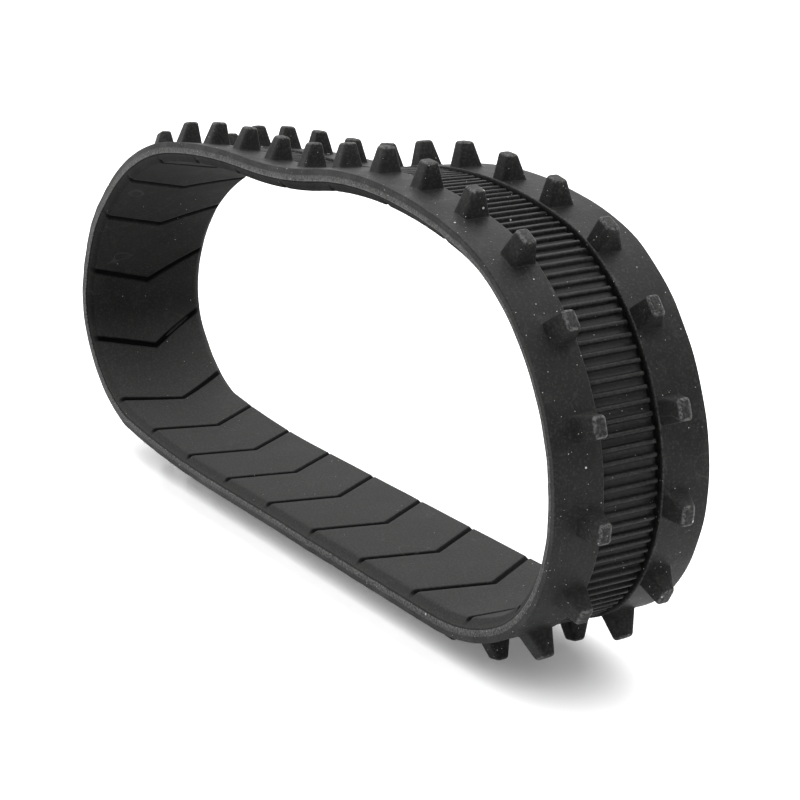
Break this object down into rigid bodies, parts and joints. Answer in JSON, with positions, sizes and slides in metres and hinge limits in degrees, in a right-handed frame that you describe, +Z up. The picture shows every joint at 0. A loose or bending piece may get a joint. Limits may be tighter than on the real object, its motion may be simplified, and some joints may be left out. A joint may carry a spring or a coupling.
{
  "type": "rubber track",
  "caption": "Endless moulded rubber track lying as a soft oval loop: tapered guide lugs in two rows, a ribbed drive channel between them and a shallow chevron tread inside the loop.",
  "frame": {"origin": "middle of the loop's box, on the surface that the lugs stand on", "axes": "+X along the loop towards its blunt end, +Y across the band, +Z up"},
  "size_m": [0.3968, 0.0504, 0.1509],
  "materials": {
    "lug_rubber": "satin black moulded rubber, dusty",
    "rib_rubber": "satin black moulded rubber, slightly glossier on the rib crests",
    "tread_rubber": "matt dark grey moulded rubber",
    "cord": "twisted aramid yarn"
  },
  "bodies": {
    "root": {"near_lug_strip": "lug_rubber", "far_lug_strip": "lug_rubber", "rib_strip": "rib_rubber", "tread_band": "tread_rubber", "tension_cord_1": "cord", "tension_cord_2": "cord", "tension_cord_3": "cord", "tension_cord_4": "cord", "tension_cord_5": "cord", "tension_cord_6": "cord"}
  },
  "joints": []
}
